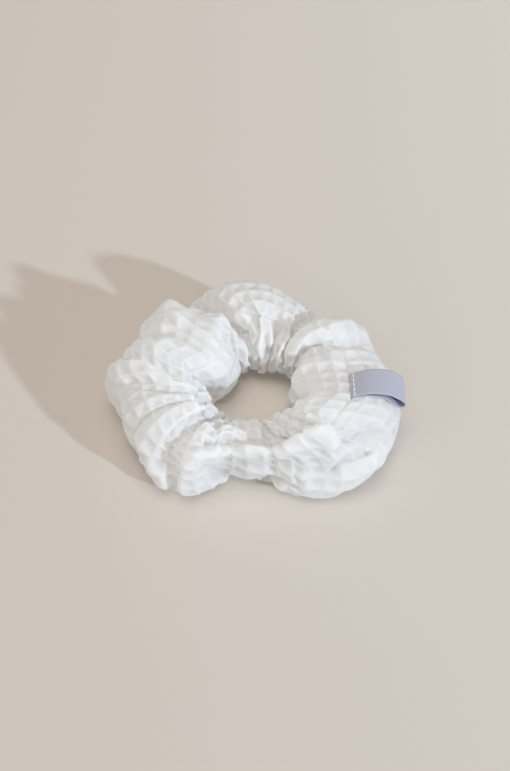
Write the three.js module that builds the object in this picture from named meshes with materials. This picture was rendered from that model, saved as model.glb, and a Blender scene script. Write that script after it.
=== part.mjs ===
// Gathered fabric hair tie (scrunchie), lying flat. Millimetres, +Z up, the floor at Z = 0.
//
// How the real thing is made, and so how it is modelled:
//   one strip of waffle fabric is folded lengthwise and sewn into a tube (tube_seam_thread, on the inside, beside the
//   two seam allowances), turned right side out, pulled over a loop of flat elastic (elastic_band, whose two ends lap
//   and are bound by elastic_join_thread), and its two open ends are closed onto each other by hand or machine
//   (closing_seam_thread). A folded ribbon label is caught at one end in the tube seam (label, label_tack_thread).
// The tube is about 2.6 times longer than the elastic, so it gathers into lobes all round the ring.
import * as THREE from "three";

// ---- driving dimensions -------------------------------------------------------------------------------------
const FABRIC_T = 1.6; // waffle fabric, ridge to back
const SEAM_ALLOWANCE = 5.0; // the two raw edges turned into the tube
const CLOSING_GAP = 0.5; // between the two ends of the tube, across the closing seam
const CLOSING_DEG = 65; // where the tube's ends meet
const SEAM_PHI = 62; // where the tube seam runs on the section, from the outer edge upwards, degrees

const ELASTIC_R = 24.0; // mid radius of the relaxed elastic loop
const ELASTIC_W = 6.0; // flat elastic, measured up the Z axis
const ELASTIC_T = 1.2;
const ELASTIC_LAP = 12.0; // how far its ends lap
const ELASTIC_Z = 11.6; // mid height of the band

const LABEL_W = 12.7; // ribbon width
const LABEL_T = 0.35;
const LABEL_Y = -8.5; // centre line of the ribbon, in the ring's frame
const LABEL_ROOT_X = 34.6; // where its ends are caught
const THREAD_R = 0.25;

// Plan and height of the gathered tube, every 10 degrees from +X, about the ring's centre:
// outer radius, inner radius, top height, underside height (under 0: the fabric lies flat on the floor there).
const SECTIONS = [
  [53.2, 12.6, 24.2, -1.0], // 0   right-hand lobe, under the label
  [51.4, 12.6, 24.4, -0.6],
  [49.6, 13.6, 23.6, 0.6], // 20  crease
  [51.0, 15.4, 27.2, -0.8],
  [50.8, 16.4, 28.0, -1.4], // 40  back right lobe
  [49.0, 16.6, 26.2, -0.8],
  [46.0, 16.6, 23.0, 1.4], // 60  crease at the closing seam
  [48.8, 16.4, 24.8, 1.2],
  [51.6, 16.6, 27.8, -1.0],
  [53.6, 16.8, 28.8, -1.6], // 90  back lobe
  [55.2, 16.6, 28.6, -1.4],
  [55.0, 15.6, 26.4, -0.4],
  [50.6, 13.2, 24.0, 1.0], // 120 crease
  [54.4, 11.6, 29.6, -0.8],
  [55.0, 10.8, 32.4, -1.4], // 140 back left lobe
  [52.4, 10.6, 31.0, -0.4],
  [50.2, 10.8, 30.4, 0.4], // 160 crease
  [54.0, 11.8, 32.8, -1.2],
  [55.4, 13.6, 32.6, -1.6], // 180 left lobe
  [52.4, 15.4, 31.6, -1.6],
  [51.0, 15.8, 31.0, -1.0], // 200
  [50.8, 15.6, 30.2, -0.4],
  [52.2, 16.0, 29.6, -1.2], // 220
  [52.0, 16.2, 27.8, -1.6], // 230 front left lobe
  [50.6, 16.4, 26.0, -1.2],
  [44.8, 16.4, 24.4, 0.2], // 250
  [36.8, 16.0, 22.8, 1.8], // 260 narrow front neck, a little off the floor
  [36.8, 15.8, 22.4, 2.2],
  [39.6, 16.2, 23.2, 1.2], // 280
  [46.4, 16.4, 26.6, -1.0],
  [51.2, 16.8, 29.2, -1.6], // 300 front right lobe
  [54.2, 17.2, 28.8, -1.8],
  [55.8, 17.6, 27.6, -1.6], // 320
  [55.8, 17.0, 26.6, -1.2],
  [54.8, 15.2, 25.4, -0.8], // 340
  [53.8, 13.2, 24.6, -1.0],
];

const rad = THREE.MathUtils.degToRad;
const N = SECTIONS.length;

// Periodic cubic through the table, at an angle in radians.
function section(theta) {
  const t = ((theta / (2 * Math.PI)) * N) % N;
  const x = t < 0 ? t + N : t;
  const k = Math.floor(x);
  const u = x - k;
  const w = [
    -0.5 * u * u * u + u * u - 0.5 * u,
    1.5 * u * u * u - 2.5 * u * u + 1,
    -1.5 * u * u * u + 2 * u * u + 0.5 * u,
    0.5 * u * u * u - 0.5 * u * u,
  ];
  const at = (c) =>
    w.reduce((s, f, i) => s + f * SECTIONS[(k - 1 + i + N) % N][c], 0);
  const [ro, ri, zt, zb] = [at(0), at(1), at(2), at(3)];
  return {
    rc: (ro + ri) / 2,
    a: (ro - ri) / 2,
    zc: (zt + zb) / 2,
    b: (zt - zb) / 2,
  };
}

const ROUND = 0.85; // under 1 squares the section up a little, as gathered cloth does
const sp = (v) => Math.sign(v) * Math.pow(Math.abs(v), ROUND);

// A point of the tube wall: angle round the ring, angle round the section, depth below the outer surface.
function wall(theta, phi, depth) {
  const s = section(theta);
  const r = s.rc + (s.a - depth) * sp(Math.cos(phi));
  const z = Math.max(s.zc + (s.b - depth) * sp(Math.sin(phi)), Math.max(depth, 0));
  return new THREE.Vector3(r * Math.cos(theta), r * Math.sin(theta), z);
}

// True where a point is inside the tube's outer surface.
function inside(x, y, z, grow = 0) {
  const s = section(Math.atan2(y, x));
  const u = Math.abs(Math.hypot(x, y) - s.rc) / (s.a + grow);
  const v = Math.abs(z - s.zc) / (s.b + grow);
  return Math.pow(u, 2 / ROUND) + Math.pow(v, 2 / ROUND) < 1;
}

const polygon = (sides, r) =>
  new THREE.Shape(
    Array.from({ length: sides }, (_, i) => {
      const t = (i / sides) * 2 * Math.PI;
      return new THREE.Vector2(r * Math.cos(t), r * Math.sin(t));
    }),
  );

// A thread laid along points: a thin faceted tube with closed ends.
function threadAlong(points, steps, sides = 5, r = THREAD_R) {
  const path = new THREE.CatmullRomCurve3(points, false, "catmullrom", 0.5);
  return new THREE.ExtrudeGeometry(polygon(sides, r), {
    steps,
    extrudePath: path,
  });
}

// ---- materials ------------------------------------------------------------------------------------------------
const waffle = new THREE.MeshStandardMaterial({ color: 0xeff0ee, roughness: 0.95, metalness: 0 });
const elasticMat = new THREE.MeshStandardMaterial({ color: 0xe9e6de, roughness: 0.8, metalness: 0 });
const ribbonMat = new THREE.MeshStandardMaterial({ color: 0xbcc0cd, roughness: 0.5, metalness: 0 });
const threadMat = new THREE.MeshStandardMaterial({ color: 0xf1f0ec, roughness: 0.75, metalness: 0 });

const part = new THREE.Group();
const ring = new THREE.Group(); // the ring's own frame: its centre on the elastic's axis
part.add(ring);
function put(name, geometry, material) {
  const mesh = new THREE.Mesh(geometry, material);
  mesh.name = name;
  ring.add(mesh);
  return mesh;
}

// ---- casing: the sewn tube of waffle fabric, open only across the closing seam -----------------------------------
// Its section is drawn once at unit size, a wall with the two seam allowances standing into the bore, extruded
// straight, and then bent round the ring so that each section takes its size from the table.
{
  const OUT = 22;
  const INNER = 0.8; // unit radius that stands for the inner face of the wall
  const FIN = 0.5; // unit radius that stands for the free edge of the seam allowances
  const outer = Array.from({ length: OUT }, (_, i) => {
    const t = (i / OUT) * 2 * Math.PI;
    return new THREE.Vector2(Math.cos(t), Math.sin(t));
  });
  const shape = new THREE.Shape(outer);
  const bore = [];
  const at = (r, deg) => bore.push(new THREE.Vector2(r * Math.cos(rad(deg)), r * Math.sin(rad(deg))));
  at(INNER, SEAM_PHI - 5);
  at(FIN, SEAM_PHI - 7);
  at(FIN, SEAM_PHI + 7);
  at(INNER, SEAM_PHI + 5);
  const IN = 18;
  for (let i = 1; i < IN; i++) at(INNER, SEAM_PHI + 5 + (i / IN) * 350);
  shape.holes.push(new THREE.Path(bore.reverse()));
  const STEPS = 80;
  const geometry = new THREE.ExtrudeGeometry(shape, { depth: 1, steps: STEPS, bevelEnabled: false });
  const p = geometry.attributes.position;
  const rEnd = 35;
  const half = CLOSING_GAP / 2 / rEnd;
  const from = rad(CLOSING_DEG) - half;
  const sweep = 2 * Math.PI - 2 * half;
  for (let i = 0; i < p.count; i++) {
    const unit = Math.hypot(p.getX(i), p.getY(i));
    const phi = Math.atan2(p.getY(i), p.getX(i));
    const depth =
      unit > INNER - 0.01
        ? ((1 - unit) / (1 - INNER)) * FABRIC_T
        : FABRIC_T + SEAM_ALLOWANCE;
    const v = wall(from - p.getZ(i) * sweep, phi, Math.max(depth, 0));
    p.setXYZ(i, v.x, v.y, v.z);
  }
  geometry.computeVertexNormals();
  put("casing", geometry, waffle);
}

// ---- tube seam: the line of stitches that closes the tube lengthwise, beside the allowances, inside the bore -------
{
  const points = [];
  const turns = 96;
  const margin = 4;
  for (let i = 0; i <= turns; i++) {
    const t = rad(CLOSING_DEG - margin - (i / turns) * (360 - 2 * margin));
    const s = section(t);
    const depth = FABRIC_T + 1.6 + (i % 2 ? 0.5 : 0);
    const lateral = 9 + (0.95 / Math.max(s.b, 8)) * 57.3; // clears the side of the allowances
    points.push(wall(t, rad(SEAM_PHI - lateral), depth));
  }
  put("tube_seam_thread", threadAlong(points, 96), threadMat);
}

// ---- closing seam: whip stitches that draw the tube's two ends together, outside, all round the section -------------
{
  const points = [];
  const stitches = 40;
  for (let i = 0; i <= stitches; i++) {
    const phi = rad(-158 + (i / stitches) * 316);
    const side = (i % 2 ? 1 : -1) * 1.1;
    const s = section(rad(CLOSING_DEG));
    const r = s.rc + s.a * Math.cos(phi);
    points.push(wall(rad(CLOSING_DEG) + side / r, phi, -0.62));
  }
  put("closing_seam_thread", threadAlong(points, 80), threadMat);
}

// ---- elastic: one strip of flat elastic bent into a loop, its last 12 mm lying over its first ---------------------
const lapAngle = ELASTIC_LAP / ELASTIC_R;
const LAP_CENTRE = rad(205);
{
  const step = ELASTIC_T + 0.35;
  const section4 = new THREE.Shape([
    new THREE.Vector2(-ELASTIC_T / 2, -ELASTIC_W / 2),
    new THREE.Vector2(ELASTIC_T / 2, -ELASTIC_W / 2),
    new THREE.Vector2(ELASTIC_T / 2, ELASTIC_W / 2),
    new THREE.Vector2(-ELASTIC_T / 2, ELASTIC_W / 2),
  ]);
  const STEPS = 104;
  const geometry = new THREE.ExtrudeGeometry(section4, { depth: 1, steps: STEPS, bevelEnabled: false });
  const p = geometry.attributes.position;
  const total = 2 * Math.PI + lapAngle;
  for (let i = 0; i < p.count; i++) {
    const along = p.getZ(i) * total;
    const theta = LAP_CENTRE + lapAngle / 2 - along;
    // the far end climbs over the near one just before the lap, and stays outside it
    const climb = THREE.MathUtils.smoothstep(along, 2 * Math.PI - 0.35, 2 * Math.PI - 0.02);
    const r = ELASTIC_R + p.getX(i) + climb * step;
    p.setXYZ(i, r * Math.cos(theta), r * Math.sin(theta), ELASTIC_Z + p.getY(i));
  }
  geometry.computeVertexNormals();
  put("elastic_band", geometry, elasticMat);
}

// ---- elastic join: thread bound over both edges of the lap ---------------------------------------------------------
{
  const points = [];
  const turns = 7;
  const rIn = ELASTIC_R - ELASTIC_T / 2 - 0.62;
  const rOut = ELASTIC_R + ELASTIC_T / 2 + ELASTIC_T + 0.35 + 0.62;
  const zLo = ELASTIC_Z - ELASTIC_W / 2 - 0.62;
  const zHi = ELASTIC_Z + ELASTIC_W / 2 + 0.62;
  const corners = [
    [rIn, ELASTIC_Z],
    [rIn, zHi],
    [rOut, zHi],
    [rOut, zLo],
    [rIn, zLo],
  ];
  for (let k = 0; k < turns; k++)
    corners.forEach(([r, z], i) => {
      const t =
        LAP_CENTRE - lapAngle / 2 + lapAngle * (0.12 + (0.76 * (k + i / corners.length)) / turns);
      points.push(new THREE.Vector3(r * Math.cos(t), r * Math.sin(t), z));
    });
  const path = new THREE.CurvePath();
  for (let i = 0; i + 1 < points.length; i++) path.add(new THREE.LineCurve3(points[i], points[i + 1]));
  put(
    "elastic_join_thread",
    new THREE.ExtrudeGeometry(polygon(5, 0.2), {
      steps: 102,
      extrudePath: new THREE.CatmullRomCurve3(path.getSpacedPoints(102), false, "catmullrom", 0.2),
    }),
    threadMat,
  );
}

// ---- label: a woven ribbon folded in half, both ends caught at its root, lying out over the lobe ---------------------
// Its side view is drawn as the outline of a hairpin: a lower layer just over the fabric, a round fold at the free end,
// and an upper layer above it.
const y0 = LABEL_Y - LABEL_W / 2;
const y1 = LABEL_Y + LABEL_W / 2;
function clearance(cx, cz, alpha) {
  // how far from (cx, cz) the tube reaches in this direction, anywhere under the ribbon's width
  let far = 0;
  for (let k = 0; k <= 6; k++) {
    const y = y0 + ((y1 - y0) * k) / 6;
    let lo = 0;
    let hi = 40;
    for (let n = 0; n < 30; n++) {
      const m = (lo + hi) / 2;
      if (inside(cx + m * Math.cos(alpha), y, cz + m * Math.sin(alpha))) lo = m;
      else hi = m;
    }
    far = Math.max(far, lo);
  }
  return far;
}
let labelRoot;
{
  const cx = LABEL_ROOT_X;
  const cz = 10;
  const lower = [];
  const upper = [];
  const STEPS = 18;
  for (let i = 0; i <= STEPS; i++) {
    const f = i / STEPS;
    const alpha = rad(90 - f * 62);
    const r = clearance(cx, cz, alpha) + 0.75;
    const gap = LABEL_T + 0.4 + 2.6 * Math.pow(f, 1.1);
    lower.push(new THREE.Vector2(cx + r * Math.cos(alpha), cz + r * Math.sin(alpha)));
    upper.push(
      new THREE.Vector2(cx + (r + gap) * Math.cos(alpha), cz + (r + gap) * Math.sin(alpha)),
    );
  }
  const a = lower[STEPS];
  const b = upper[STEPS];
  const mid = a.clone().add(b).multiplyScalar(0.5);
  const down = new THREE.Vector2(b.y - a.y, a.x - b.x).normalize();
  const half = a.distanceTo(b) / 2;
  const fold = [];
  for (let i = 1; i < 6; i++) {
    const t = Math.PI - (i / 6) * Math.PI;
    const across = b.clone().sub(a).normalize();
    fold.push(
      mid
        .clone()
        .addScaledVector(across, Math.cos(t) * half)
        .addScaledVector(down, Math.sin(t) * half * 1.3),
    );
  }
  const centre = [...lower, ...fold, ...upper.reverse()];
  const left = [];
  const right = [];
  centre.forEach((p, i) => {
    const q = centre[Math.min(i + 1, centre.length - 1)].clone().sub(centre[Math.max(i - 1, 0)]).normalize();
    const n = new THREE.Vector2(-q.y, q.x).multiplyScalar(LABEL_T / 2);
    left.push(p.clone().add(n));
    right.push(p.clone().sub(n));
  });
  const outline = [...left, ...right.reverse()];
  const geometry = new THREE.ExtrudeGeometry(new THREE.Shape(outline), {
    depth: LABEL_W,
    bevelEnabled: false,
  });
  geometry.rotateX(Math.PI / 2); // the outline's second axis becomes Z, and the extrusion runs along -Y
  geometry.translate(0, y1, 0);
  put("label", geometry, ribbonMat);
  labelRoot = lower[0];
}

// ---- label tack: the few stitches that hold the ribbon's ends, on the fabric just inside its root ---------------------
{
  const points = [];
  const n = 14;
  for (let i = 0; i <= n; i++) {
    const y = y0 + 0.4 + ((LABEL_W - 0.8) * i) / n;
    const x = LABEL_ROOT_X - 1.7 - (i % 2 ? 0.7 : 0);
    let z = 40;
    while (!inside(x, y, z) && z > 0) z -= 0.02;
    points.push(new THREE.Vector3(x, y, z + 0.62));
  }
  put("label_tack_thread", threadAlong(points, 42), threadMat);
}

// ---- the part's frame: origin on the floor, under the middle of the whole object's box ------------------------------
ring.updateMatrixWorld(true);
const box = new THREE.Box3().setFromObject(part, true);
const RING_AT = new THREE.Vector3(-(box.min.x + box.max.x) / 2, -(box.min.y + box.max.y) / 2, -box.min.z);
ring.position.copy(RING_AT);

export default part;
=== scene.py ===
import math

import bpy
import numpy as np
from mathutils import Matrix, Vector


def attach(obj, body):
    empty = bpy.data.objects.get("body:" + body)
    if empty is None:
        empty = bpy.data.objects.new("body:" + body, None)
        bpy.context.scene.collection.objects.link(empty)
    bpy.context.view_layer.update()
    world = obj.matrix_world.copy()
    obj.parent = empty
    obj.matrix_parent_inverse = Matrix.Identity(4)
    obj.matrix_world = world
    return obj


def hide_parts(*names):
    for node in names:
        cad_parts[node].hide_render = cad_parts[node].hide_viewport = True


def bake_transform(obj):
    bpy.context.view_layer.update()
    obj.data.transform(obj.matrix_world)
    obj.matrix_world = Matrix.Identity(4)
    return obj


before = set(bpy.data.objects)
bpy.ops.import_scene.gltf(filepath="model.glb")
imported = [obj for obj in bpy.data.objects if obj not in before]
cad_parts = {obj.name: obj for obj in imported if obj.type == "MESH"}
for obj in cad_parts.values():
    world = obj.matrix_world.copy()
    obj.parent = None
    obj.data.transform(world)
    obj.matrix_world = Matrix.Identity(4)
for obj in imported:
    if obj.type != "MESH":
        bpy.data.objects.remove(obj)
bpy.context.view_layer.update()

scene = bpy.context.scene
scene.view_settings.view_transform = "Standard"
scene.cycles.max_bounces, scene.cycles.diffuse_bounces = 16, 12  # white cloth passes light on many times

# ---- camera, lights and world -----------------------------------------------------------------------------------
camera = bpy.data.objects.new("camera", bpy.data.cameras.new("camera"))
scene.collection.objects.link(camera)
camera.data.lens, camera.data.sensor_width, camera.data.clip_start = 60, 36, 0.01
back = Vector((0, -math.cos(math.radians(45)), math.sin(math.radians(45))))
camera.location = Vector((0.00014, -0.0005, 0.012)) + back * 0.483
camera.rotation_euler = (-back).to_track_quat("-Z", "Y").to_euler()
scene.camera = camera


def towards(azimuth, elevation):
    a, e = math.radians(azimuth), math.radians(elevation)
    return Vector((math.cos(a) * math.cos(e), math.sin(a) * math.cos(e), math.sin(e)))


key = bpy.data.objects.new("key", bpy.data.lights.new("key", "SUN"))
scene.collection.objects.link(key)
key.data.energy, key.data.color, key.data.angle = 2.64, (0.67, 0.81, 1.0), math.radians(2.5)
key.rotation_euler = towards(-41, 19.5).to_track_quat("Z", "Y").to_euler()

for name, energy, angle, where in (("top", 0.9, 40, towards(-90, 86)), ("fill", 0.78, 80, towards(-125, 45))):
    soft = bpy.data.objects.new(name, bpy.data.lights.new(name, "SUN"))
    scene.collection.objects.link(soft)
    soft.data.energy, soft.data.color, soft.data.angle = energy, (1.0, 0.975, 0.93), math.radians(angle)
    soft.rotation_euler = where.to_track_quat("Z", "Y").to_euler()

lamp = bpy.data.objects.new("hole_light", bpy.data.lights.new("hole_light", "SPOT"))  # into the ring's hole
scene.collection.objects.link(lamp)
lamp.data.energy, lamp.data.color, lamp.data.spot_size, lamp.data.spot_blend = 2.7, (1.0, 0.985, 0.95), 0.17, 1.0
lamp.data.shadow_soft_size = 0.04
lamp.location = Vector((0.0, -0.004, 0.008)) + towards(-90, 70) * 0.5
lamp.rotation_euler = towards(-90, 70).to_track_quat("Z", "Y").to_euler()

world = bpy.data.worlds.new("studio")
world.use_nodes = True
world.node_tree.nodes["Background"].inputs["Color"].default_value = (0.445, 0.431, 0.413, 1)
world.node_tree.nodes["Background"].inputs["Strength"].default_value = 1.0
scene.world = world


# ---- materials --------------------------------------------------------------------------------------------------
class Nodes:
    """A material's nodes, wired by name."""

    def __init__(self, name):
        self.material = bpy.data.materials.new(name)
        self.material.use_nodes = True
        self.tree = self.material.node_tree
        self.shader = self.tree.nodes["Principled BSDF"]

    def put(self, socket, value):
        if isinstance(value, bpy.types.NodeSocket):
            self.tree.links.new(value, socket)
        else:
            socket.default_value = value

    def node(self, kind, settings=(), **inputs):
        n = self.tree.nodes.new(kind)
        for k, v in dict(settings).items():
            setattr(n, k, v)
        for k, v in inputs.items():
            self.put(n.inputs[k.replace("_", " ")], v)
        return n

    def math(self, what, a, b=0.0, c=0.0, clamp=False):
        n = self.tree.nodes.new("ShaderNodeMath")
        n.operation, n.use_clamp = what, clamp
        for i, v in enumerate((a, b, c)):
            self.put(n.inputs[i], v)
        return n.outputs[0]

    def noise(self, vector, scale, detail=3.0, rough=0.55):
        return self.node("ShaderNodeTexNoise", Vector=vector, Scale=scale, Detail=detail, Roughness=rough).outputs["Fac"]

    def ramp(self, fac, *stops):
        n = self.tree.nodes.new("ShaderNodeValToRGB")
        self.put(n.inputs[0], fac)
        e = n.color_ramp.elements
        while len(e) < len(stops):
            e.new(0.5)
        for el, (at, col) in zip(e, stops):
            el.position, el.color = at, (*col, 1)
        return n.outputs["Color"]

    def uv(self, name="cloth"):
        n = self.node("ShaderNodeUVMap", {"uv_map": name})
        s = self.node("ShaderNodeSeparateXYZ", Vector=n.outputs["UV"])
        return n.outputs["UV"], s.outputs["X"], s.outputs["Y"]

    def bump(self, height, distance, strength=1.0, under=None):
        n = self.node("ShaderNodeBump", Height=height, Distance=distance, Strength=strength)
        if under is not None:
            self.put(n.inputs["Normal"], under)
        return n.outputs["Normal"]

    def thin(self, colour, normal, share):
        """Lets that share of the light through, as thin cloth does."""
        through = self.node("ShaderNodeBsdfTranslucent", Color=colour, Normal=normal)
        mix = self.node("ShaderNodeMixShader", Fac=share)
        self.put(mix.inputs[1], self.shader.outputs[0])
        self.put(mix.inputs[2], through.outputs[0])
        self.put(self.tree.nodes["Material Output"].inputs["Surface"], mix.outputs[0])
        return self.material

    def finish(self, **inputs):
        for k, v in inputs.items():
            self.put(self.shader.inputs[k.replace("_", " ")], v)
        return self.material


def wave(m, x, per):
    """0 to 1 and back, per times a unit of x."""
    return m.math("MULTIPLY_ADD", m.math("SINE", m.math("MULTIPLY", x, 2 * math.pi * per)), 0.5, 0.5)


def waffle_material():
    m = Nodes("waffle_cotton")
    uv, u, v = m.uv()
    du, dv = (m.math("ABSOLUTE", m.math("SUBTRACT", m.math("FRACT", m.math("ADD", a, 0.5)), 0.5)) for a in (u, v))
    near = m.math("MINIMUM", du, dv)  # 0 on a cell's ridge, 0.5 in its middle
    side = m.math("LESS_THAN", du, dv)
    object_at = m.node("ShaderNodeTexCoord").outputs["Object"]
    # floats lie along the ridge on the cell's sides, and the plain weave shows in its middle
    along = m.node("ShaderNodeMix", {"data_type": "FLOAT"}, Factor=side, A=wave(m, v, 13), B=wave(m, u, 13)).outputs[0]
    plain = m.math("MULTIPLY", wave(m, u, 13), wave(m, v, 13))
    middle = m.math("MULTIPLY", m.math("SUBTRACT", near, 0.22), 6.0, clamp=True)
    threads = m.node("ShaderNodeMix", {"data_type": "FLOAT"}, Factor=middle, A=along, B=plain).outputs[0]
    fuzz = m.noise(object_at, 2600.0, 4.0, 0.65)
    slub = m.noise(object_at, 420.0, 3.0, 0.6)
    height = m.math("ADD", m.math("MULTIPLY", threads, 0.5), m.math("MULTIPLY", fuzz, 0.7))
    height = m.math("ADD", height, m.math("MULTIPLY", slub, 0.8))
    # tone: the cotton's own random tone from the noise and slub, plus painted shade: lighter on the ridges and thread
    # crests, darker in each cell's middle
    tone = m.math("ADD", m.math("MULTIPLY", threads, 0.10), m.math("MULTIPLY", m.noise(object_at, 60.0, 3.0), 0.35))
    tone = m.math("ADD", tone, m.math("MULTIPLY", slub, 0.3))
    tone = m.math("ADD", tone, m.math("MULTIPLY", m.math("SUBTRACT", 0.5, near), 0.6))
    colour = m.ramp(tone, (0.1, (0.91, 0.907, 0.90)), (0.5, (0.95, 0.947, 0.94)), (0.8, (0.972, 0.97, 0.965)))
    normal = m.bump(height, 0.00016, 0.8)
    m.finish(Base_Color=colour, Roughness=0.93, Normal=normal, Sheen_Weight=0.12, Sheen_Roughness=0.5,
             Specular_IOR_Level=0.25)
    return m.thin(colour, normal, 0.62)


def thread_material():
    m = Nodes("cotton_thread")
    uv, u, v = m.uv()
    twist = wave(m, m.math("ADD", u, m.math("MULTIPLY", v, 1.0)), 1.0)
    # painted shade: the thread is lighter on its twist's crests and darker in its grooves
    colour = m.ramp(twist, (0.0, (0.74, 0.74, 0.725)), (1.0, (0.87, 0.875, 0.87)))
    return m.finish(Base_Color=colour, Roughness=0.7, Normal=m.bump(twist, 0.00005, 0.9), Sheen_Weight=0.1)


def elastic_material():
    m = Nodes("braided_elastic")
    uv, u, v = m.uv()
    # u runs along the band in millimetres and v across it in ribs: the braid's strands slant over each rib in turn
    slant = m.math("ADD", u, m.math("MULTIPLY", m.math("PINGPONG", v, 1.0), 0.9))
    strands = wave(m, slant, 1.25)
    rib = m.math("SINE", m.math("MULTIPLY", m.math("FRACT", v), math.pi))
    height = m.math("ADD", m.math("MULTIPLY", strands, 0.6), rib)
    # painted shade: the band's colour follows the same height, darker in the grooves between ribs and strands
    colour = m.ramp(m.math("MULTIPLY", height, 0.6), (0.0, (0.62, 0.62, 0.60)), (1.0, (0.84, 0.84, 0.83)))
    return m.finish(Base_Color=colour, Roughness=0.75, Normal=m.bump(height, 0.00012, 0.8), Sheen_Weight=0.1)


def ribbon_material():
    m = Nodes("satin_ribbon")
    uv, u, v = m.uv()
    # u along the ribbon and v across it, in millimetres: fine warp lines, a few weft steps, a flat selvedge each side
    warp, weft = wave(m, v, 5.5), wave(m, m.math("ADD", u, m.math("MULTIPLY", v, 0.35)), 4.0)
    drift = m.noise(uv, 0.9, 3.0)
    height = m.math("ADD", m.math("MULTIPLY", warp, 0.7), m.math("MULTIPLY", weft, 0.3))
    edge = m.math("GREATER_THAN", m.math("ABSOLUTE", v), 5.75)
    height = m.math("ADD", height, m.math("MULTIPLY", edge, m.math("MULTIPLY", weft, 0.9)))
    # the colour drifts at random, the ribbon's own tone, and is painted darker where the weave lies lower, as painted
    # shade
    tone = m.math("ADD", m.math("MULTIPLY", height, 0.25), m.math("MULTIPLY", drift, 0.6))
    colour = m.ramp(tone, (0.15, (0.362, 0.367, 0.433)), (0.75, (0.42, 0.427, 0.5)))
    rough = m.math("MULTIPLY_ADD", drift, 0.12, 0.40)
    return m.finish(Base_Color=colour, Roughness=rough, Normal=m.bump(height, 0.00003, 0.6),
                    Anisotropic=0.45, Sheen_Weight=0.05, Specular_IOR_Level=0.4)


def floor_material():
    m = Nodes("plain_floor")
    at = m.node("ShaderNodeTexCoord").outputs["Object"]
    across = m.node("ShaderNodeSeparateXYZ", Vector=at).outputs["X"]
    # painted light: the floor is painted lighter towards +X and darker towards -X, a painted falloff of light; the
    # noise is its own tone
    tone = m.math("MULTIPLY_ADD", m.noise(at, 6.0, 2.0), 0.1, m.math("MULTIPLY_ADD", across, 3.0, 0.45))
    colour = m.ramp(tone, (0.1, (0.545, 0.484, 0.426)), (0.9, (0.592, 0.546, 0.497)))
    return m.finish(Base_Color=colour, Roughness=0.85, Specular_IOR_Level=0.2)


# ---- mesh helpers -----------------------------------------------------------------------------------------------
def solid(name, verts, faces, uvs, material):
    """A mesh piece. verts are in millimetres about the ring's centre, and uvs has a pair for each vertex."""
    mesh = bpy.data.meshes.new(name)
    verts = (np.asarray(verts, float).reshape(-1, 3) + RING) * 0.001
    sizes = np.array([len(f) for f in faces]) if isinstance(faces, list) else np.full(len(faces), faces.shape[1])
    flat = np.concatenate([np.asarray(f) for f in faces]) if isinstance(faces, list) else faces.ravel()
    mesh.vertices.add(len(verts))
    mesh.vertices.foreach_set("co", verts.ravel())
    mesh.loops.add(len(flat))
    mesh.loops.foreach_set("vertex_index", flat.astype(np.int32))
    mesh.polygons.add(len(sizes))
    mesh.polygons.foreach_set("loop_start", (np.cumsum(sizes) - sizes).astype(np.int32))
    mesh.polygons.foreach_set("loop_total", sizes.astype(np.int32))
    mesh.update()
    layer = mesh.uv_layers.new(name="cloth")
    layer.data.foreach_set("uv", np.asarray(uvs, float).reshape(-1, 2)[flat].ravel())
    mesh.validate()
    mesh.shade_smooth()
    mesh.materials.append(material)
    piece = bpy.data.objects.new(name, mesh)
    scene.collection.objects.link(piece)
    return piece


def grid_faces(rows, cols, wrap_rows=False, wrap_cols=False, first=0):
    """Quads over a rows by cols grid of vertices, numbered row by row from first."""
    i = np.arange(rows if wrap_rows else rows - 1)
    j = np.arange(cols if wrap_cols else cols - 1)
    i, j = np.meshgrid(i, j, indexing="ij")
    a, b = i * cols + j, ((i + 1) % rows) * cols + j
    c, d = ((i + 1) % rows) * cols + (j + 1) % cols, i * cols + (j + 1) % cols
    return np.stack([a, b, c, d], -1).reshape(-1, 4) + first


def swept(path, radius, sides=7, closed=False, first=0):
    """A round thread along a path: its vertices, faces and uvs, with u in turns of twist and v round it."""
    path = np.asarray(path, float)
    n = len(path)
    if closed:
        tangent = np.roll(path, -1, 0) - np.roll(path, 1, 0)
    else:
        tangent = np.gradient(path, axis=0)
    tangent /= np.maximum(np.linalg.norm(tangent, axis=1, keepdims=True), 1e-9)
    side = np.cross(tangent[0], (0.3, 0.2, 0.9))
    side /= np.linalg.norm(side)
    verts, uvs = np.zeros((n, sides, 3)), np.zeros((n, sides, 2))
    turn = np.arange(sides) / sides * 2 * np.pi
    run = 0.0
    for k in range(n):
        side = side - tangent[k] * (side @ tangent[k])
        side /= max(np.linalg.norm(side), 1e-9)
        other = np.cross(tangent[k], side)
        if k:
            run += np.linalg.norm(path[k] - path[k - 1])
        verts[k] = path[k] + radius * (np.cos(turn)[:, None] * side + np.sin(turn)[:, None] * other)
        uvs[k, :, 0], uvs[k, :, 1] = run / (radius * 4.0), turn / (2 * np.pi)
    faces = [f for f in grid_faces(n, sides, closed, True)]
    if not closed:
        faces = faces + [np.arange(sides)[::-1], (n - 1) * sides + np.arange(sides)]
    return verts.reshape(-1, 3), [np.asarray(f) + first for f in faces], uvs.reshape(-1, 2)


def threads(name, paths, radius, material, sides=7, closed=False):
    verts, faces, uvs, first = [], [], [], 0
    for path in paths:
        v, f, t = swept(path, radius, sides, closed, first)
        verts.append(v)
        faces += f
        uvs.append(t)
        first += len(v)
    return solid(name, np.concatenate(verts), faces, np.concatenate(uvs), material)


# ---- the casing's cloth -----------------------------------------------------------------------------------------
# Millimetres, about the ring's centre, until the mesh is made. s runs anticlockwise along the tube, t round it.
PITCH = 6.1  # one waffle cell
CELLS_S, CELLS_T = 64, 18
LENGTH, GIRTH = CELLS_S * PITCH, CELLS_T * PITCH
RING = np.array([0.14, -5.0, 0.0])  # the ring's centre in the part's frame
ELASTIC = (24.6, 11.6, 5.4)  # radius, height, and how near the cloth may come

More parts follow.
